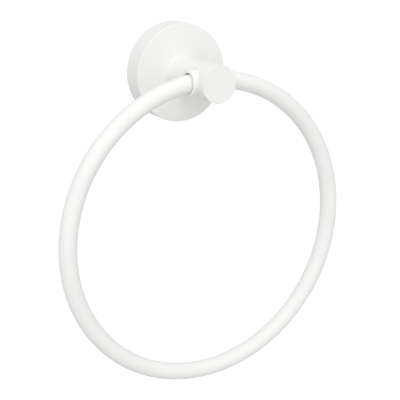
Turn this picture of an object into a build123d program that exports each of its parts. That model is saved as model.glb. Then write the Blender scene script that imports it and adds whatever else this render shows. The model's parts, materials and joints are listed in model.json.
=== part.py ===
from build123d import *
from math import cos, degrees, radians, sin, sqrt, tan
import os

# Towel ring: a loose round ring in a bushed round post, on a round rosette that hides its wall plate.
# The wall is the plane y = 0, the post stands out towards -Y and z is up. All lengths are in millimetres.
# The origin is the point of the wall on the post's axis.

# Rosette, a cast cup with its open side on the wall
rosette_diameter = 54.0
rosette_depth = 13.4
rosette_side_wall = 3.0
rosette_front_wall = 3.0
rosette_edge_round = 0.5
rosette_inner_round = 1.0
rosette_rim_chamfer = 0.3

# Post, a turned bar with a spigot that centres it in the rosette
post_diameter = 20.0
post_past_ring = 12.2
post_edge_round = 0.3
spigot_diameter = 10.0
spigot_length = 1.2
cross_hole_round = 0.3

# Bush in the post's cross hole, a sleeve whose ends stand proud of the post on both sides
bush_wall = 1.7
bush_proud = 2.0
bush_edge_round = 0.4
bush_mouth_round = 0.3

# Ring, a bent tube whose ends meet inside the bush
ring_from_wall = 40.8
ring_centreline_diameter = 166.2
tube_diameter = 9.5
tube_wall = 1.2
ring_end_gap = 0.4
plug_length = 26.0

# Screw that holds the post to the rosette, with its split washer
post_screw_diameter = 6.0
post_screw_length = 16.0
post_screw_head_diameter = 10.5
post_screw_head_height = 3.3
post_screw_head_round = 2.2
post_screw_socket = 4.0
post_screw_socket_depth = 2.0
post_screw_tip_chamfer = 0.6
tapped_run_out = 2.0
drill_point_angle = 118.0
thread_mouth_chamfer = 0.5
thread_mouth_angle = 90.0
washer_diameter = 11.8
washer_thickness = 1.6
washer_slit = 1.2

# Wall plate, a cast ring with an undercut flank for the grub screw and two slots for the wall's screws
plate_height = 6.0
plate_flank_height = 4.5
plate_undercut = 3.7
plate_web = 3.0
plate_rim = 3.5
plate_hub_wall = 1.8
plate_hub_height = 4.5
plate_edge_round = 0.4
hub_to_slot = 0.75
slot_to_rim = 2.2
slot_width = 5.2
slot_chamfer = 0.4

# Grub screw under the rosette
grub_screw_diameter = 4.0
grub_screw_from_wall = 3.2
grub_screw_point = 0.6
grub_screw_socket = 2.0
grub_screw_socket_depth = 1.5
grub_screw_recess = 0.1

# Clearances between the pieces
running_gap = 0.15
bush_gap = 0.05
plug_gap = 0.05
thread_gap = 0.05
screw_hole_gap = 0.3
spigot_gap = 0.1
washer_gap = 0.2
plate_gap = 0.3
head_gap = 1.2
point_gap = 0.05

# Radii and depths that follow from the sizes above
rosette_radius = rosette_diameter / 2
rosette_inner_radius = rosette_radius - rosette_side_wall
rosette_inner_depth = rosette_depth - rosette_front_wall
post_radius = post_diameter / 2
post_reach = ring_from_wall + post_past_ring
post_screw_radius = post_screw_diameter / 2
tube_radius = tube_diameter / 2
tube_bore_radius = tube_radius - tube_wall
ring_radius = ring_centreline_diameter / 2

# The ring swings about the bush's axis. Inside the straight bore its bent tube is highest in the middle and
# lowest at the mouths, and the ring stands so that both have the running gap.
bush_half_length = post_radius + bush_proud
bearing_half_length = bush_half_length - bush_mouth_round
inner_side_at_mouth = ring_radius - sqrt((ring_radius - tube_radius) ** 2 - bearing_half_length**2)
bush_bore_radius = (inner_side_at_mouth + tube_radius) / 2 + running_gap
bush_radius = bush_bore_radius + bush_wall
ring_centre_z = (inner_side_at_mouth - tube_radius) / 2 - ring_radius
ring_axis = Axis((0, -ring_from_wall, ring_centre_z), (0, 1, 0))


def tube_section(arc_from_top):
    """The plane across the tube at this length of arc from the ring's top, facing along the tube."""
    angle = arc_from_top / ring_radius
    centre = (ring_radius * sin(angle), -ring_from_wall, ring_centre_z + ring_radius * cos(angle))
    return Plane(origin=centre, x_dir=(0, 1, 0), z_dir=(cos(angle), 0, -sin(angle)))


def distance_from_wall(distance):
    """The plane parallel to the wall at this distance, facing away from it."""
    return Plane.XZ.offset(distance)


# Ring
with BuildPart() as ring:
    with BuildSketch(tube_section(ring_end_gap / 2)):
        Circle(tube_radius)
        Circle(tube_bore_radius, mode=Mode.SUBTRACT)
    revolve(axis=ring_axis, revolution_arc=360 - degrees(ring_end_gap / ring_radius))

# Plug inside the ring's two ends
with BuildPart() as ring_joining_plug:
    with BuildSketch(tube_section(-plug_length / 2)):
        Circle(tube_bore_radius - plug_gap)
    revolve(axis=ring_axis, revolution_arc=degrees(plug_length / ring_radius))

# Post, with its spigot, its tapped hole that ends in a drill point, and its cross hole
post_screw_seat = rosette_inner_depth - washer_thickness
tapped_hole_radius = post_screw_radius + thread_gap
tapped_depth = post_screw_seat + post_screw_length + tapped_run_out - rosette_depth + spigot_length
drill_point = tapped_hole_radius / tan(radians(drill_point_angle / 2))
with BuildPart() as post:
    with BuildSketch(distance_from_wall(rosette_depth)):
        Circle(post_radius)
    extrude(amount=post_reach - rosette_depth)
    fillet(post.edges().filter_by(GeomType.CIRCLE).sort_by(Axis.Y)[0], radius=post_edge_round)
    with BuildSketch(distance_from_wall(rosette_depth)):
        Circle(spigot_diameter / 2)
    extrude(amount=-spigot_length)
    with Locations(Plane.ZX.offset(spigot_length - rosette_depth)):
        CounterSinkHole(
            radius=tapped_hole_radius,
            counter_sink_radius=tapped_hole_radius + thread_mouth_chamfer,
            depth=tapped_depth,
            counter_sink_angle=thread_mouth_angle,
        )
    with Locations(distance_from_wall(rosette_depth - spigot_length + tapped_depth + drill_point / 2)):
        Cone(tapped_hole_radius, 0, drill_point, mode=Mode.SUBTRACT)
    with BuildSketch(Plane.YZ):
        with Locations((-ring_from_wall, 0)):
            Circle(bush_radius + bush_gap)
    extrude(amount=post_diameter, both=True, mode=Mode.SUBTRACT)
    fillet(post.edges(Select.LAST), radius=cross_hole_round)

# Bush in the post's cross hole
with BuildPart() as ring_bush:
    with BuildSketch(Plane.YZ):
        with Locations((-ring_from_wall, 0)):
            Circle(bush_radius)
            Circle(bush_bore_radius, mode=Mode.SUBTRACT)
    extrude(amount=bush_half_length, both=True)
    mouth_edges, outer_edges = ring_bush.edges().filter_by(GeomType.CIRCLE).group_by(SortBy.RADIUS)
    fillet(outer_edges, radius=bush_edge_round)
    fillet(mouth_edges, radius=bush_mouth_round)

# Rosette, with the step for the post's spigot and the tapped hole for the grub screw
with BuildPart() as rosette:
    with BuildSketch(distance_from_wall(0)):
        Circle(rosette_radius)
    extrude(amount=rosette_depth)
    outer_edges = rosette.edges().filter_by(GeomType.CIRCLE).sort_by(Axis.Y)
    fillet(outer_edges[0], radius=rosette_edge_round)
    chamfer(outer_edges[-1], length=rosette_rim_chamfer)
    with BuildSketch(distance_from_wall(0)):
        Circle(rosette_inner_radius)
    extrude(amount=rosette_inner_depth, mode=Mode.SUBTRACT)
    fillet(rosette.edges(Select.LAST).sort_by(Axis.Y)[0], radius=rosette_inner_round)
    with Locations(distance_from_wall(rosette_depth)):
        CounterBoreHole(
            radius=post_screw_radius + screw_hole_gap,
            counter_bore_radius=spigot_diameter / 2 + spigot_gap,
            counter_bore_depth=spigot_length + spigot_gap,
        )
    with BuildSketch(Plane.XY.offset(-rosette_radius)):
        with Locations((0, -grub_screw_from_wall)):
            Circle(grub_screw_diameter / 2 + thread_gap)
    extrude(amount=rosette_side_wall * 2, mode=Mode.SUBTRACT)

# Screw through the rosette into the post
with BuildPart() as post_screw:
    with BuildSketch(distance_from_wall(post_screw_seat)):
        Circle(post_screw_radius)
    extrude(amount=post_screw_length)
    chamfer(post_screw.edges().sort_by(Axis.Y)[0], length=post_screw_tip_chamfer)
    with BuildSketch(distance_from_wall(post_screw_seat)):
        Circle(post_screw_head_diameter / 2)
    extrude(amount=-post_screw_head_height)
    fillet(post_screw.edges().sort_by(Axis.Y)[-1], radius=post_screw_head_round)
    with BuildSketch(distance_from_wall(post_screw_seat - post_screw_head_height)):
        RegularPolygon(radius=post_screw_socket / 2, side_count=6, major_radius=False)
    extrude(amount=post_screw_socket_depth, mode=Mode.SUBTRACT)

# Split washer between the screw's head and the rosette
with BuildPart() as lock_washer:
    with BuildSketch(distance_from_wall(post_screw_seat)):
        Circle(washer_diameter / 2)
        Circle(post_screw_radius + washer_gap, mode=Mode.SUBTRACT)
        with Locations((0, washer_diameter / 2)):
            Rectangle(washer_slit, washer_diameter, mode=Mode.SUBTRACT)
    extrude(amount=washer_thickness)

# Wall plate: its flank widens away from the wall, so the grub screw's point draws the rosette back
plate_radius = rosette_inner_radius - plate_gap
plate_back_radius = plate_radius - plate_undercut
plate_rim_inner_radius = plate_radius - plate_rim
hub_bore_radius = post_screw_head_diameter / 2 + head_gap
hub_radius = hub_bore_radius + plate_hub_wall
slot_length = plate_rim_inner_radius - slot_to_rim - hub_radius - hub_to_slot
slot_spacing = 2 * (hub_radius + hub_to_slot) + slot_length
with BuildPart() as wall_plate:
    with BuildSketch(Plane.XY):
        with BuildLine():
            Polyline(
                (hub_bore_radius, 0),
                (plate_back_radius, 0),
                (plate_radius, -plate_flank_height),
                (plate_radius, -plate_height),
                (plate_rim_inner_radius, -plate_height),
                (plate_rim_inner_radius, -plate_web),
                (hub_radius, -plate_web),
                (hub_radius, -plate_hub_height),
                (hub_bore_radius, -plate_hub_height),
                close=True,
            )
        make_face()
    revolve(axis=Axis.Y)
    fillet(wall_plate.edges().group_by(Axis.Y)[0], radius=plate_edge_round)
    with BuildSketch(distance_from_wall(0)):
        with GridLocations(slot_spacing, 0, 2, 1):
            SlotOverall(slot_length, slot_width)
    extrude(amount=plate_web, mode=Mode.SUBTRACT)
    chamfer(wall_plate.edges(Select.LAST).group_by(Axis.Y)[0], length=slot_chamfer)

# Grub screw: its point stands just off the wall plate's flank
point_radius = grub_screw_point / 2
flank_slope = plate_undercut / plate_flank_height
flank_at_point = plate_back_radius + flank_slope * (grub_screw_from_wall + point_radius)
grub_screw_end = rosette_radius - grub_screw_recess
grub_screw_length = grub_screw_end - flank_at_point - point_gap
with BuildPart() as grub_screw:
    with BuildSketch(Plane.XY.offset(-grub_screw_end)):
        with Locations((0, -grub_screw_from_wall)):
            Circle(grub_screw_diameter / 2)
    extrude(amount=grub_screw_length)
    chamfer(grub_screw.edges().sort_by(Axis.Z)[-1], length=grub_screw_diameter / 2 - point_radius)
    with BuildSketch(Plane.XY.offset(-grub_screw_end)):
        with Locations((0, -grub_screw_from_wall)):
            RegularPolygon(radius=grub_screw_socket / 2, side_count=6, major_radius=False)
    extrude(amount=grub_screw_socket_depth, mode=Mode.SUBTRACT)

os.makedirs("parts", exist_ok=True)

ring.part.label = "ring"
export_step(ring.part, "parts/ring.step")

ring_joining_plug.part.label = "ring_joining_plug"
export_step(ring_joining_plug.part, "parts/ring_joining_plug.step")

post.part.label = "post"
export_step(post.part, "parts/post.step")

ring_bush.part.label = "ring_bush"
export_step(ring_bush.part, "parts/ring_bush.step")

rosette.part.label = "rosette"
export_step(rosette.part, "parts/rosette.step")

post_screw.part.label = "post_screw"
export_step(post_screw.part, "parts/post_screw.step")

lock_washer.part.label = "lock_washer"
export_step(lock_washer.part, "parts/lock_washer.step")

wall_plate.part.label = "wall_plate"
export_step(wall_plate.part, "parts/wall_plate.step")

grub_screw.part.label = "grub_screw"
export_step(grub_screw.part, "parts/grub_screw.step")
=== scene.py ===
import json
import math

import bmesh
import bpy
from bpy.props import FloatProperty, FloatVectorProperty, PointerProperty
from bpy.types import Operator, Panel, PropertyGroup
from mathutils import Matrix, Vector


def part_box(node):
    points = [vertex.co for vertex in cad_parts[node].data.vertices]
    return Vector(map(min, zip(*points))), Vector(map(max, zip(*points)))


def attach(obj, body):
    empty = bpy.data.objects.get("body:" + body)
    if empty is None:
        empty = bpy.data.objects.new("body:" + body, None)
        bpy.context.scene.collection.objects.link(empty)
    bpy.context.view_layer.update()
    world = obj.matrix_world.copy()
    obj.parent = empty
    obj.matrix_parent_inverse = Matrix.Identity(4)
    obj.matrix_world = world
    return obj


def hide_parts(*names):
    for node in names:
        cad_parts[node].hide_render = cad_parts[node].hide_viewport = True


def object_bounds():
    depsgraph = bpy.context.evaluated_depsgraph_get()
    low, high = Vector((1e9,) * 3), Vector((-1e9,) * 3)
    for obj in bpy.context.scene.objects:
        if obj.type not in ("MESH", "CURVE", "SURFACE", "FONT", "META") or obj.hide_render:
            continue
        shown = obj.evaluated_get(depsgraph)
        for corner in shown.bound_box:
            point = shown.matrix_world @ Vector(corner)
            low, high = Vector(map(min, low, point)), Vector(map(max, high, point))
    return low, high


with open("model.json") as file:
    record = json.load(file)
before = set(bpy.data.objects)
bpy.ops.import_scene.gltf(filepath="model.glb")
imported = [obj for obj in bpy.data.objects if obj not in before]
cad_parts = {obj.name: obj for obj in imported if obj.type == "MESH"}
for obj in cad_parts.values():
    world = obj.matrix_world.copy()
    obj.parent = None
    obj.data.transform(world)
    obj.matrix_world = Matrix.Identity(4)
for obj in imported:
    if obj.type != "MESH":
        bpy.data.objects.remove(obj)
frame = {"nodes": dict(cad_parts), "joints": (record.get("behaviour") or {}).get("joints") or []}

bl_info = {
    "name": "Towel Ring",
    "version": (1, 0, 0),
    "blender": (4, 5, 0),
    "location": "3D View > Sidebar > Towel Ring",
    "description": "Models a wall towel ring, finishes its hidden pieces and sets its stage",
    "category": "Add Mesh",
}

# The wall is the plane y = 0, the post stands out towards -Y and z is up, all in metres.
MM = 0.001
CAD_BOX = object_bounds()
RING_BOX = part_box("ring")
POST_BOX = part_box("post")
BUSH_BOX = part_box("ring_bush")
ROSETTE_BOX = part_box("rosette")
HINGE = Vector(next(joint["pos_m"] for joint in frame["joints"] if joint["name"] == "ring_swing"))
TUBE_RADIUS = (RING_BOX[1].y - RING_BOX[0].y) / 2
RING_RADIUS = (RING_BOX[1].z - RING_BOX[0].z) / 2 - TUBE_RADIUS
RING_CENTRE = (RING_BOX[0] + RING_BOX[1]) / 2
POST_RADIUS = (POST_BOX[1].x - POST_BOX[0].x) / 2
BUSH_RADIUS = (BUSH_BOX[1].z - BUSH_BOX[0].z) / 2
ROSETTE_RADIUS = (ROSETTE_BOX[1].x - ROSETTE_BOX[0].x) / 2
WELD_DISTANCE = 0.0001 * MM


def length(name, description, default):
    """A length property, in metres."""
    return FloatProperty(
        name=name, description=description, default=default, min=0, precision=5, unit="LENGTH"
    )


def share(name, description, default):
    """A property from 0 to 1."""
    return FloatProperty(
        name=name, description=description, default=default, min=0, max=1, subtype="FACTOR"
    )


def color(name, description, default):
    """A linear colour property."""
    return FloatVectorProperty(
        name=name, description=description, default=default, min=0, max=1, subtype="COLOR"
    )


class TowelRingSizes(PropertyGroup):
    """The sizes that the ring, post, bush and rosette are modelled to."""

    tube_radius: length("Tube radius", "Outer radius of the ring's tube", TUBE_RADIUS)
    tube_wall: length("Tube wall", "Wall of the ring's tube", 1.2 * MM)
    ring_radius: length("Ring radius", "Radius of the ring's centre line", RING_RADIUS)
    ring_end_gap: length("Ring end gap", "Gap between the ring's two ends inside the bush", 0.4 * MM)
    post_radius: length("Post radius", "Radius of the post", POST_RADIUS)
    post_edge_round: length("Post edge round", "Rounding of the post's free end", 0.3 * MM)
    cross_hole_round: length("Cross hole round", "Rounding of the rim of the bush's hole", 0.3 * MM)
    bush_gap: length("Bush gap", "Gap between the bush and its hole in the post", 0.05 * MM)
    bush_radius: length("Bush radius", "Outer radius of the bush", BUSH_RADIUS)
    bush_wall: length("Bush wall", "Wall of the bush", 1.7 * MM)
    bush_edge_round: length("Bush edge round", "Outer rounding of the bush's ends", 0.4 * MM)
    bush_mouth_round: length("Bush mouth round", "Rounding of the bush's mouths", 0.3 * MM)
    spigot_radius: length("Spigot radius", "Radius of the post's spigot", 5 * MM)
    tapped_radius: length("Tapped radius", "Radius of the post's tapped hole", 3.05 * MM)
    tapped_depth: length("Tapped depth", "Depth of the post's tapped hole", 14.6 * MM)
    tapped_mouth: length("Tapped mouth", "Width of the bevel at that hole's mouth", 0.5 * MM)
    rosette_radius: length("Rosette radius", "Outer radius of the rosette", ROSETTE_RADIUS)
    rosette_wall: length("Rosette wall", "Thickness of the rosette's side wall and front", 3 * MM)
    rosette_edge_round: length("Rosette edge round", "Rounding of the rosette's front edge", 0.5 * MM)
    rosette_inner_round: length("Rosette inner round", "Rounding inside the rosette", 1 * MM)
    rosette_rim_bevel: length("Rosette rim bevel", "Bevel of the rosette's rim at the wall", 0.3 * MM)
    rosette_step_radius: length("Rosette step radius", "Radius of the step for the spigot", 5.1 * MM)
    rosette_step_depth: length("Rosette step depth", "Depth of that step", 1.3 * MM)
    rosette_hole_radius: length("Rosette hole radius", "Radius of the rosette's centre hole", 3.3 * MM)
    grub_hole_radius: length("Grub hole radius", "Radius of the hole for the grub screw", 2.05 * MM)
    grub_hole_round: length("Grub hole round", "Rounding of that hole's rim", 0.15 * MM)
    grub_hole_from_wall: length("Grub hole from wall", "Distance of that hole from the wall", 3.2 * MM)


class TowelRingFinish(PropertyGroup):
    """The colours, the least roughness and the ripples of the finishes."""

    coat: color("Powder coat", "Colour of the powder coat", (0.882, 0.883, 0.864))
    coat_shade: color("Powder coat shade", "Slightly deeper tone of that coat", (0.858, 0.859, 0.840))
    coat_roughness: share("Powder coat roughness", "Least roughness of that coat", 0.62)
    peel_width: length("Peel width", "Width of the powder coat's soft ripples", 1.1 * MM)
    peel_height: length("Peel height", "Height of those ripples", 0.035 * MM)
    nylon: color("Nylon", "Colour of the moulded bush", (0.87, 0.87, 0.85))
    nylon_roughness: share("Nylon roughness", "Least roughness of the moulded bush", 0.34)
    steel: color("Plated steel", "Colour of the zinc plated steel", (0.60, 0.61, 0.63))
    steel_roughness: share("Plated steel roughness", "Least roughness of that steel", 0.24)
    casting: color("Cast zinc", "Colour of the bare wall plate", (0.44, 0.45, 0.47))
    casting_roughness: share("Cast zinc roughness", "Least roughness of that plate", 0.45)


class TowelRingStage(PropertyGroup):
    """The camera, the floor and the light."""

    azimuth: FloatProperty(
        name="Azimuth",
        description="Camera's turn to the left",
        default=math.radians(30.63),
        subtype="ANGLE",
    )
    elevation: FloatProperty(
        name="Elevation",
        description="Camera's height as an angle",
        default=math.radians(17.08),
        subtype="ANGLE",
    )
    distance: length("Distance", "Camera's distance from its target", 615.1 * MM)
    lens: FloatProperty(
        name="Lens", description="Focal length on a 36 mm sensor", default=93.70, unit="CAMERA"
    )
    floor_drop: length("Floor drop", "How far the floor lies under the ring", 1000 * MM)
    ambient: FloatProperty(name="Ambient", description="Strength of the even light", default=0.62, min=0)
    front: FloatProperty(
        name="Front",
        description="Further soft light from the front and above",
        default=0.355,
        min=0,
    )
    key: FloatProperty(
        name="Key", description="Power of the key lamp", default=6.8, min=0, unit="POWER"
    )


def loft(mesh, one, other, finish=0):
    """Faces between two closed loops of as many vertices, in one of the piece's finishes."""
    for step, vertex in enumerate(one):
        face = mesh.faces.new((one[step - 1], vertex, other[step], other[step - 1]))
        face.material_index = finish


class Turned:
    """A mesh turned about the post's axis, circle by circle, each circle a list of vertices."""

    def __init__(self, segments):
        self.mesh = bmesh.new()
        self.segments = segments

    def circle(self, radius, y):
        """A circle of vertices at this distance along the axis, or one vertex on the axis."""
        if radius == 0:
            return [self.mesh.verts.new((0, y, 0))]
        turns = (2 * math.pi * step / self.segments for step in range(self.segments))
        return [self.mesh.verts.new((radius * math.cos(a), y, radius * math.sin(a))) for a in turns]

    def join(self, one, other):
        """Faces between two circles, or between a circle and a vertex on the axis."""
        for step in range(self.segments):
            following = (step + 1) % self.segments
            corners = [one[step], one[following]] if len(one) > 1 else [one[0]]
            corners += [other[following], other[step]] if len(other) > 1 else [other[0]]
            self.mesh.faces.new(corners)

    def turn(self, profile):
        """Circles joined along a profile of (radius, y) points; returns the first and the last."""
        circles = [self.circle(radius, y) for radius, y in profile]
        for one, other in zip(circles, circles[1:]):
            self.join(one, other)
        return circles[0], circles[-1]

    def band(self, start, end, radius, rows, holes):
        """A cylinder wall from one circle to another, in rows of cells, with round holes.

        rows are the y of the circles between, and each hole is a Hole that spans whole cells.
        Returns the innermost loop of vertices of each hole.
        """
        circles = [start] + [self.circle(radius, y) for y in rows] + [end]
        for row, (one, other) in enumerate(zip(circles, circles[1:])):
            for step in range(self.segments):
                if not any(hole.covers(step, row, self.segments) for hole in holes):
                    following = (step + 1) % self.segments
                    self.mesh.faces.new((one[step], one[following], other[following], other[step]))
        return [hole.cut(self, circles, radius) for hole in holes]


class Hole:
    """A round hole drilled square to the axis through a cylinder wall, in a square patch of cells.

    The patch's middle lies this step round the axis, and it reaches half_cells to each side of it.
    """

    LAYERS = 6
    # Under 1, so that the layers stand closer together towards the hole.
    SPREAD = 0.7
    ROUND_STEPS = 6

    def __init__(self, step, half_cells, y, radius, rounding):
        self.step = step
        self.half_cells = half_cells
        self.y = y
        self.radius = radius
        self.rounding = rounding

    def covers(self, step, row, segments):
        """Whether the hole's patch, which starts in the band's second row, takes this cell."""
        cells = 2 * self.half_cells
        across = (step - self.step + self.half_cells) % segments
        return across < cells and 1 <= row <= cells

    def cut(self, body, circles, radius):
        """Fills the patch with loops from its border in to the hole, and returns the last loop."""
        cells = 2 * self.half_cells
        first = self.step - self.half_cells
        corners = [(0, 0, 1, 0), (cells, 0, 0, 1), (cells, cells, -1, 0), (0, cells, 0, -1)]
        places = [(c + i * dc, r + i * dr) for c, r, dc, dr in corners for i in range(cells)]
        border = [circles[1 + row][(first + column) % body.segments] for column, row in places]
        turn = 2 * math.pi * self.step / body.segments
        outward = Vector((math.cos(turn), 0, math.sin(turn)))
        across = Vector((-math.sin(turn), 0, math.cos(turn)))
        along = Vector((0, 1, 0))
        middle = along * self.y

        def flat(vertex):
            return Vector(((vertex.co - middle).dot(along), (vertex.co - middle).dot(across)))

        def lifted(point, sunk=0.0):
            reach = math.sqrt(radius**2 - point.y**2) - sunk
            return body.mesh.verts.new(middle + along * point.x + across * point.y + outward * reach)

        rays = [flat(vertex).normalized() for vertex in border]
        outer = self.radius + self.rounding
        loop = border
        for layer in range(1, self.LAYERS + 1):
            nearness = (layer / self.LAYERS) ** self.SPREAD
            inner = [lifted(flat(v).lerp(ray * outer, nearness)) for v, ray in zip(border, rays)]
            loft(body.mesh, loop, inner)
            loop = inner
        steps = self.ROUND_STEPS if self.rounding else 0
        for step in range(1, steps + 1):
            angle = math.pi / 2 * step / steps
            reach = self.radius + self.rounding * (1 - math.sin(angle))
            sunk = self.rounding * (1 - math.cos(angle))
            inner = [lifted(ray * reach, sunk) for ray in rays]
            loft(body.mesh, loop, inner)
            loop = inner
        return loop


def hole_rows(y, reach, half_cells):
    """The y of the circles through a hole's patch, which reaches this far to both sides."""
    cells = 2 * half_cells
    return [y - reach + 2 * reach * row / cells for row in range(cells + 1)]


def arc(centre, radius, start, end, steps=8):
    """Points of an arc in a profile, with angles in degrees from the radius direction towards +Y."""
    angles = [math.radians(start + (end - start) * step / steps) for step in range(steps + 1)]
    return [(centre[0] + radius * math.cos(a), centre[1] + radius * math.sin(a)) for a in angles]


def finished_object(name, mesh, finishes, body, node, crease=30):
    """An object of this mesh that stands for a node, smooth but for creases over so many degrees."""
    bmesh.ops.remove_doubles(mesh, verts=mesh.verts, dist=WELD_DISTANCE)
    bmesh.ops.recalc_face_normals(mesh, faces=mesh.faces)
    data = bpy.data.meshes.new(name)
    mesh.to_mesh(data)
    mesh.free()
    data.shade_smooth()
    data.set_sharp_from_angle(angle=math.radians(crease))
    for finish in finishes:
        data.materials.append(material(finish))
    piece = bpy.data.objects.new(name, data)
    bpy.context.scene.collection.objects.link(piece)
    weighted = piece.modifiers.new("flat faces stay flat", "WEIGHTED_NORMAL")
    weighted.keep_sharp = True
    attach(piece, body)
    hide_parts(node)


class Value:
    """A node's output that sums are written on: 0.5 + grain * 0.2 adds two Math nodes."""

    def __init__(self, paint, socket):
        self.paint = paint
        self.socket = socket

    def sum(self, operation, first, second):
        return self.paint.node("ShaderNodeMath", {"operation": operation}, {0: first, 1: second})

    def __add__(self, other):
        return self.sum("ADD", self, other)

    def __radd__(self, other):
        return self.sum("ADD", other, self)

    def __mul__(self, other):
        return self.sum("MULTIPLY", self, other)

    def __rmul__(self, other):
        return self.sum("MULTIPLY", other, self)


class Paint:
    """The nodes of one material, or of the world."""

    def __init__(self, block):
        block.use_nodes = True
        self.block = block
        self.tree = block.node_tree
        self.tree.nodes.clear()

    def node(self, kind, settings=None, sockets=None, output=0):
        """Adds a node, sets its settings, then its sockets' values or links, and gives one output."""
        made = self.tree.nodes.new(kind)
        for name, setting in (settings or {}).items():
            setattr(made, name, setting)
        for name, value in (sockets or {}).items():
            if isinstance(value, Value):
                self.tree.links.new(value.socket, made.inputs[name])
            else:
                made.inputs[name].default_value = value
        return Value(self, made.outputs[output]) if made.outputs else None

    def noise(self, width, detail=2.0):
        """Soft noise with features about this wide, fixed to the piece."""
        place = self.node("ShaderNodeTexCoord", output="Object")
        sockets = {"Vector": place, "Scale": 1 / width, "Detail": detail}
        return self.node("ShaderNodeTexNoise", {}, sockets)

    def bump(self, height, depth, strength=1.0):
        """A normal bumped by this height, which stands for this depth."""
        sockets = {"Strength": strength, "Distance": depth, "Height": height}
        return self.node("ShaderNodeBump", {}, sockets)

    def between(self, place, one, other):
        """A colour between two, where place goes from 0 to 1."""
        sockets = {0: place, 6: (*one, 1), 7: (*other, 1)}
        return self.node("ShaderNodeMix", {"data_type": "RGBA"}, sockets, output=2)

    def surface(self, sockets):
        """Ends the material with a Principled BSDF of these sockets."""
        shader = self.node("ShaderNodeBsdfPrincipled", {}, sockets)
        self.node("ShaderNodeOutputMaterial", {}, {"Surface": shader})
        return self.block


def deeper(tone, part):
    """A darker tone of a colour, with this part of its light."""
    return tuple(channel * part for channel in tone)


def powder_coat(paint, finish):
    """White powder coat: matt, with soft ripples, a fine grain and faint changes of tone."""
    cloud = paint.noise(width=18 * MM, detail=3)
    peel = paint.noise(finish.peel_width)
    grain = paint.noise(finish.peel_width / 5, detail=1)
    return paint.surface(
        {
            "Base Color": paint.between(cloud, finish.coat, finish.coat_shade),
            "Roughness": finish.coat_roughness + grain * 0.16,
            "Normal": paint.bump(peel * 0.8 + grain * 0.2, finish.peel_height),
        }
    )


def moulded_nylon(paint, finish):
    """Moulded nylon: white and waxy, with the faint spark texture of its mould."""
    cloud = paint.noise(width=4 * MM)
    spark = paint.noise(width=0.2 * MM, detail=3)
    return paint.surface(
        {
            "Base Color": paint.between(cloud, finish.nylon, deeper(finish.nylon, part=0.97)),
            "Roughness": finish.nylon_roughness + spark * 0.14,
            "Normal": paint.bump(spark, depth=0.01 * MM, strength=0.3),
        }
    )


def plated_steel(paint, finish):
    """Zinc plated steel: bright, with fine turning marks and soft clouds in the plating."""
    cloud = paint.noise(width=2.5 * MM, detail=3)
    marks = paint.noise(width=0.12 * MM, detail=3)
    return paint.surface(
        {
            "Base Color": paint.between(cloud, finish.steel, deeper(finish.steel, part=0.8)),
            "Metallic": 1.0,
            "Roughness": finish.steel_roughness + cloud * 0.2,
            "Normal": paint.bump(marks, depth=0.01 * MM, strength=0.4),
        }
    )


def bare_casting(paint, finish):
    """Bare zinc casting: dull grey, with a grainy skin and darker patches."""
    cloud = paint.noise(width=5 * MM, detail=4)
    skin = paint.noise(width=0.35 * MM, detail=4)
    return paint.surface(
        {
            "Base Color": paint.between(cloud, finish.casting, deeper(finish.casting, part=0.7)),
            "Metallic": 0.85,
            "Roughness": finish.casting_roughness + skin * 0.2,
            "Normal": paint.bump(skin, depth=0.04 * MM, strength=0.6),
        }
    )


MAKERS = {
    "white_powder_coat": powder_coat,
    "white_nylon": moulded_nylon,
    "zinc_plated_steel": plated_steel,
    "cast_zinc": bare_casting,
}


def material(name):
    """One of the finishes, made once and then shared."""
    made = bpy.data.materials.get(name)
    if made is None:
        paint = Paint(bpy.data.materials.new(name))
        made = MAKERS[name](paint, bpy.context.scene.towel_ring_finish)
    return made


def dress(node, name):
    """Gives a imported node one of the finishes."""
    slots = frame["nodes"][node].data.materials
    slots.clear()
    slots.append(material(name))


class TOWELRING_OT_ring(Operator):
    """Bends the coated tube into a ring whose ends meet inside the bush"""

    bl_idname = "towel_ring.add_ring"
    bl_label = "Ring"
    STATIONS = 320
    SIDES = 40
    # Places of the outside's and the inside's finish in the ring's list of finishes.
    COATED, BARE = range(2)

    def section(self, mesh, angle, radius, sizes):
        """A circle of vertices across the tube, at this angle from the ring's top."""
        outward = Vector((math.sin(angle), 0, math.cos(angle)))
        forward = Vector((0, 1, 0))
        centre = RING_CENTRE + outward * sizes.ring_radius
        turns = (2 * math.pi * side / self.SIDES for side in range(self.SIDES))
        offsets = (radius * (math.cos(a) * outward + math.sin(a) * forward) for a in turns)
        return [mesh.verts.new(centre + offset) for offset in offsets]

    def execute(self, context):
        sizes = context.scene.towel_ring_sizes
        mesh = bmesh.new()
        start = sizes.ring_end_gap / 2 / sizes.ring_radius
        step = (2 * math.pi - 2 * start) / self.STATIONS
        ends = []
        skins = ((self.COATED, sizes.tube_radius), (self.BARE, sizes.tube_radius - sizes.tube_wall))
        for finish, radius in skins:
            angles = (start + step * station for station in range(self.STATIONS + 1))
            circles = [self.section(mesh, angle, radius, sizes) for angle in angles]
            for one, other in zip(circles, circles[1:]):
                loft(mesh, one, other, finish)
            ends.append((circles[0], circles[-1]))
        for outer, bore in zip(*ends):
            loft(mesh, outer, bore, self.BARE)
        finished_object(
            "bent_ring",
            mesh,
            finishes=["white_powder_coat", "zinc_plated_steel"],
            body="ring",
            node="ring",
            crease=60,
        )
        return {"FINISHED"}


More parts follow.
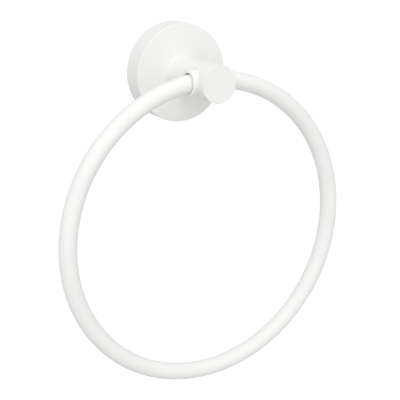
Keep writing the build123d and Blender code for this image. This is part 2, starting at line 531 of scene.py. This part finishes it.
class TOWELRING_OT_post(Operator):
    """Turns the coated post and drills it for the bush and for its screw"""

    bl_idname = "towel_ring.add_post"
    bl_label = "Post"
    SEGMENTS = 160
    HALF_CELLS = 24
    PATCH_MARGIN = 1.6 * MM
    DRILL_POINT = math.radians(118)

    def execute(self, context):
        sizes = context.scene.towel_ring_sizes
        body = Turned(self.SEGMENTS)
        radius = sizes.post_radius
        end, base, tail = POST_BOX[0].y, ROSETTE_BOX[0].y, POST_BOX[1].y
        edge = sizes.post_edge_round
        tip = [(0, end), (radius / 2, end)] + arc((radius - edge, end + edge), edge, -90, 0)
        _, front = body.turn(tip)
        tapped = sizes.tapped_radius
        mouth = tapped + sizes.tapped_mouth
        bottom = tail - sizes.tapped_depth
        point = bottom - tapped / math.tan(self.DRILL_POINT / 2)
        back = [(radius, base), (sizes.spigot_radius, base), (sizes.spigot_radius, tail), (mouth, tail)]
        back += [(tapped, tail - sizes.tapped_mouth), (tapped, bottom), (0, point)]
        foot, _ = body.turn(back)
        hole_radius = sizes.bush_radius + sizes.bush_gap
        reach = hole_radius + sizes.cross_hole_round + self.PATCH_MARGIN
        rows = hole_rows(HINGE.y, reach, self.HALF_CELLS)
        holes = [
            Hole(step, self.HALF_CELLS, HINGE.y, hole_radius, sizes.cross_hole_round)
            for step in (0, self.SEGMENTS // 2)
        ]
        near, far = body.band(front, foot, radius, rows, holes)
        # Seen through the hole, the far loop runs the other way round from another corner.
        mirrored = [far[(2 * self.HALF_CELLS - step) % len(far)] for step in range(len(far))]
        loft(body.mesh, near, mirrored)
        finished_object(
            "drilled_post",
            body.mesh,
            finishes=["white_powder_coat"],
            body="bracket",
            node="post",
        )
        return {"FINISHED"}


class TOWELRING_OT_bush(Operator):
    """Moulds the bush, a sleeve with rounded ends, in the post's cross hole"""

    bl_idname = "towel_ring.add_bush"
    bl_label = "Bush"
    SEGMENTS = 120

    def execute(self, context):
        sizes = context.scene.towel_ring_sizes
        half = BUSH_BOX[1].x
        outer = sizes.bush_radius
        bore = outer - sizes.bush_wall
        edge, mouth = sizes.bush_edge_round, sizes.bush_mouth_round
        right = [(bore, 0)] + arc((bore + mouth, half - mouth), mouth, 180, 90)
        right += arc((outer - edge, half - edge), edge, 90, 0, steps=6) + [(outer, 0)]
        left = [(radius, -along) for radius, along in reversed(right)]
        sleeve = Turned(self.SEGMENTS)
        sleeve.turn(right + left)
        across = Matrix.Translation(HINGE) @ Matrix.Rotation(math.radians(-90), 4, "Z")
        bmesh.ops.transform(sleeve.mesh, matrix=across, verts=sleeve.mesh.verts)
        finished_object(
            "moulded_bush",
            sleeve.mesh,
            finishes=["white_nylon"],
            body="bracket",
            node="ring_bush",
        )
        return {"FINISHED"}


class TOWELRING_OT_rosette(Operator):
    """Casts the coated rosette as a cup with a hole for its grub screw"""

    bl_idname = "towel_ring.add_rosette"
    bl_label = "Rosette"
    SEGMENTS = 240
    HALF_CELLS = 5
    PATCH_MARGIN = 0.1 * MM

    def execute(self, context):
        sizes = context.scene.towel_ring_sizes
        body = Turned(self.SEGMENTS)
        front = ROSETTE_BOX[0].y
        outer = sizes.rosette_radius
        inner = outer - sizes.rosette_wall
        edge, fold, bevel = sizes.rosette_edge_round, sizes.rosette_inner_round, sizes.rosette_rim_bevel
        floor = front + sizes.rosette_wall
        step = front + sizes.rosette_step_depth
        face = [(sizes.rosette_hole_radius, floor), (sizes.rosette_hole_radius, step)]
        face += [(sizes.rosette_step_radius, step), (sizes.rosette_step_radius, front)]
        face += [(outer / 2, front)] + arc((outer - edge, front + edge), edge, -90, 0)
        first, side = body.turn(face)
        rim_start, rim_end = body.turn([(outer, -bevel), (outer - bevel, 0), (inner, 0)])
        hollow = arc((inner - fold, floor + fold), fold, 0, -90, steps=6) + [(inner / 2, floor)]
        hollow_start, hollow_end = body.turn(hollow)
        body.join(hollow_end, first)
        y = -sizes.grub_hole_from_wall
        rows = hole_rows(y, -y - bevel - self.PATCH_MARGIN, self.HALF_CELLS)
        down = self.SEGMENTS * 3 // 4
        radius = sizes.grub_hole_radius
        outside = Hole(down, self.HALF_CELLS, y, radius, sizes.grub_hole_round)
        inside = Hole(down, self.HALF_CELLS, y, radius, 0)
        (mouth,) = body.band(side, rim_start, outer, rows, [outside])
        (way_in,) = body.band(hollow_start, rim_end, inner, rows, [inside])
        loft(body.mesh, mouth, way_in)
        finished_object(
            "rosette_cup",
            body.mesh,
            finishes=["white_powder_coat"],
            body="bracket",
            node="rosette",
        )
        return {"FINISHED"}


class TOWELRING_OT_hidden(Operator):
    """Finishes the wall plate, the screws, the washer and the plug inside the ring"""

    bl_idname = "towel_ring.finish_hidden"
    bl_label = "Hidden pieces"

    def execute(self, context):
        dress("wall_plate", "cast_zinc")
        for node in ("post_screw", "lock_washer", "grub_screw", "ring_joining_plug"):
            dress(node, "zinc_plated_steel")
        return {"FINISHED"}


class TOWELRING_OT_stage(Operator):
    """Sets the floor, the light and the camera"""

    bl_idname = "towel_ring.set_stage"
    bl_label = "Stage"
    FLOOR_SIZE = 4.0
    FLOOR_COLOR = (0.8, 0.8, 0.8, 1)
    FLOOR_GLOW = 0.5
    WHITE = (1, 1, 1, 1)
    SOFT_LIGHT_FROM = Vector((0, -0.82, 0.57))
    # Measured from the middle of the towel ring.
    KEY_LAMP_FROM = Vector((-0.75, -0.85, 1.0))
    KEY_LAMP_SIZE = 0.7
    CAMERA_TARGET = Vector((19.57 * MM, 0, -79.44 * MM))
    SENSOR_WIDTH = 36.0

    def execute(self, context):
        stage = context.scene.towel_ring_stage
        self.floor(context.scene, stage)
        self.sky(context.scene, stage)
        self.key_lamp(context.scene, stage)
        self.camera(context.scene, stage)
        context.scene.view_settings.view_transform = "Standard"
        return {"FINISHED"}

    def floor(self, scene, stage):
        """A pale floor far under the ring that shows white where no shadow falls on it."""
        half = self.FLOOR_SIZE / 2
        z = CAD_BOX[0].z - stage.floor_drop
        corners = [(-half, -half, z), (half, -half, z), (half, half, z), (-half, half, z)]
        data = bpy.data.meshes.new("floor")
        data.from_pydata(corners, [], [(0, 1, 2, 3)])
        paint = Paint(bpy.data.materials.new("pale_floor"))
        camera_ray = paint.node("ShaderNodeLightPath", output="Is Camera Ray")
        ground = paint.node("ShaderNodeBsdfDiffuse", {}, {"Color": self.FLOOR_COLOR})
        glow = paint.node("ShaderNodeEmission", {}, {"Color": self.WHITE, "Strength": self.FLOOR_GLOW})
        lit = paint.node("ShaderNodeAddShader", {}, {0: ground, 1: glow})
        shown = paint.node("ShaderNodeMixShader", {}, {0: camera_ray, 1: ground, 2: lit})
        paint.node("ShaderNodeOutputMaterial", {}, {"Surface": shown})
        data.materials.append(paint.block)
        floor = bpy.data.objects.new("floor", data)
        scene.collection.objects.link(floor)

    def sky(self, scene, stage):
        """Soft light, stronger from the front, that is plain white to the camera and in reflections."""
        paint = Paint(bpy.data.worlds.new("sky"))
        scene.world = paint.block
        camera_ray = paint.node("ShaderNodeLightPath", output="Is Camera Ray")
        glossy_ray = paint.node("ShaderNodeLightPath", output="Is Glossy Ray")
        place = paint.node("ShaderNodeTexCoord", output="Generated")
        facing = paint.node(
            "ShaderNodeVectorMath",
            {"operation": "DOT_PRODUCT"},
            {0: place, 1: self.SOFT_LIGHT_FROM},
            output="Value",
        )
        ahead = paint.node("ShaderNodeMath", {"operation": "MAXIMUM"}, {0: facing, 1: 0.0})
        even, soft, seen = (
            paint.node("ShaderNodeBackground", {}, {"Color": self.WHITE, "Strength": strength})
            for strength in (stage.ambient, stage.ambient + stage.front, 1.0)
        )
        light = paint.node("ShaderNodeMixShader", {}, {0: ahead, 1: even, 2: soft})
        either = paint.node("ShaderNodeMath", {"operation": "MAXIMUM"}, {0: camera_ray, 1: glossy_ray})
        shown = paint.node("ShaderNodeMixShader", {}, {0: either, 1: light, 2: seen})
        paint.node("ShaderNodeOutputWorld", {}, {"Surface": shown})

    def key_lamp(self, scene, stage):
        """A large lamp to the left of the camera and above it, facing the towel ring."""
        data = bpy.data.lights.new("key_lamp", "AREA")
        data.size = self.KEY_LAMP_SIZE
        data.energy = stage.key
        lamp = bpy.data.objects.new("key_lamp", data)
        lamp.location = (CAD_BOX[0] + CAD_BOX[1]) / 2 + self.KEY_LAMP_FROM
        lamp.rotation_mode = "QUATERNION"
        lamp.rotation_quaternion = (-self.KEY_LAMP_FROM).to_track_quat("-Z", "Y")
        scene.collection.objects.link(lamp)

    def camera(self, scene, stage):
        """The camera at the photograph's angle."""
        data = bpy.data.cameras.new("camera")
        data.lens = stage.lens
        data.sensor_width = self.SENSOR_WIDTH
        camera = bpy.data.objects.new("camera", data)
        level = math.cos(stage.elevation)
        left, towards_room = math.sin(stage.azimuth) * level, math.cos(stage.azimuth) * level
        back = Vector((-left, -towards_room, math.sin(stage.elevation)))
        camera.location = self.CAMERA_TARGET + back * stage.distance
        camera.rotation_mode = "QUATERNION"
        camera.rotation_quaternion = (-back).to_track_quat("-Z", "Y")
        scene.collection.objects.link(camera)
        scene.camera = camera


class TOWELRING_PT_panel(Panel):
    """Lists the pieces, their sizes and finishes, and the stage in the 3D view's sidebar"""

    bl_label = "Towel Ring"
    bl_space_type = "VIEW_3D"
    bl_region_type = "UI"
    bl_category = "Towel Ring"

    def draw(self, context):
        for operator in OPERATORS:
            self.layout.operator(operator.bl_idname)
        for group in GROUPS:
            settings = getattr(context.scene, group)
            for name in settings.__annotations__:
                self.layout.prop(settings, name)


GROUPS = {
    "towel_ring_sizes": TowelRingSizes,
    "towel_ring_finish": TowelRingFinish,
    "towel_ring_stage": TowelRingStage,
}
OPERATORS = (
    TOWELRING_OT_ring,
    TOWELRING_OT_post,
    TOWELRING_OT_bush,
    TOWELRING_OT_rosette,
    TOWELRING_OT_hidden,
    TOWELRING_OT_stage,
)


def register():
    for group in GROUPS.values():
        bpy.utils.register_class(group)
    for name, group in GROUPS.items():
        setattr(bpy.types.Scene, name, PointerProperty(type=group))
    for item in (*OPERATORS, TOWELRING_PT_panel):
        bpy.utils.register_class(item)


def unregister():
    for item in (TOWELRING_PT_panel, *reversed(OPERATORS)):
        bpy.utils.unregister_class(item)
    for name, group in GROUPS.items():
        delattr(bpy.types.Scene, name)
        bpy.utils.unregister_class(group)


def main():
    """Makes the towel ring and its stage."""
    register()
    bpy.ops.towel_ring.add_ring()
    bpy.ops.towel_ring.add_post()
    bpy.ops.towel_ring.add_bush()
    bpy.ops.towel_ring.add_rosette()
    bpy.ops.towel_ring.finish_hidden()
    bpy.ops.towel_ring.set_stage()


if __name__ == "__main__":
    main()
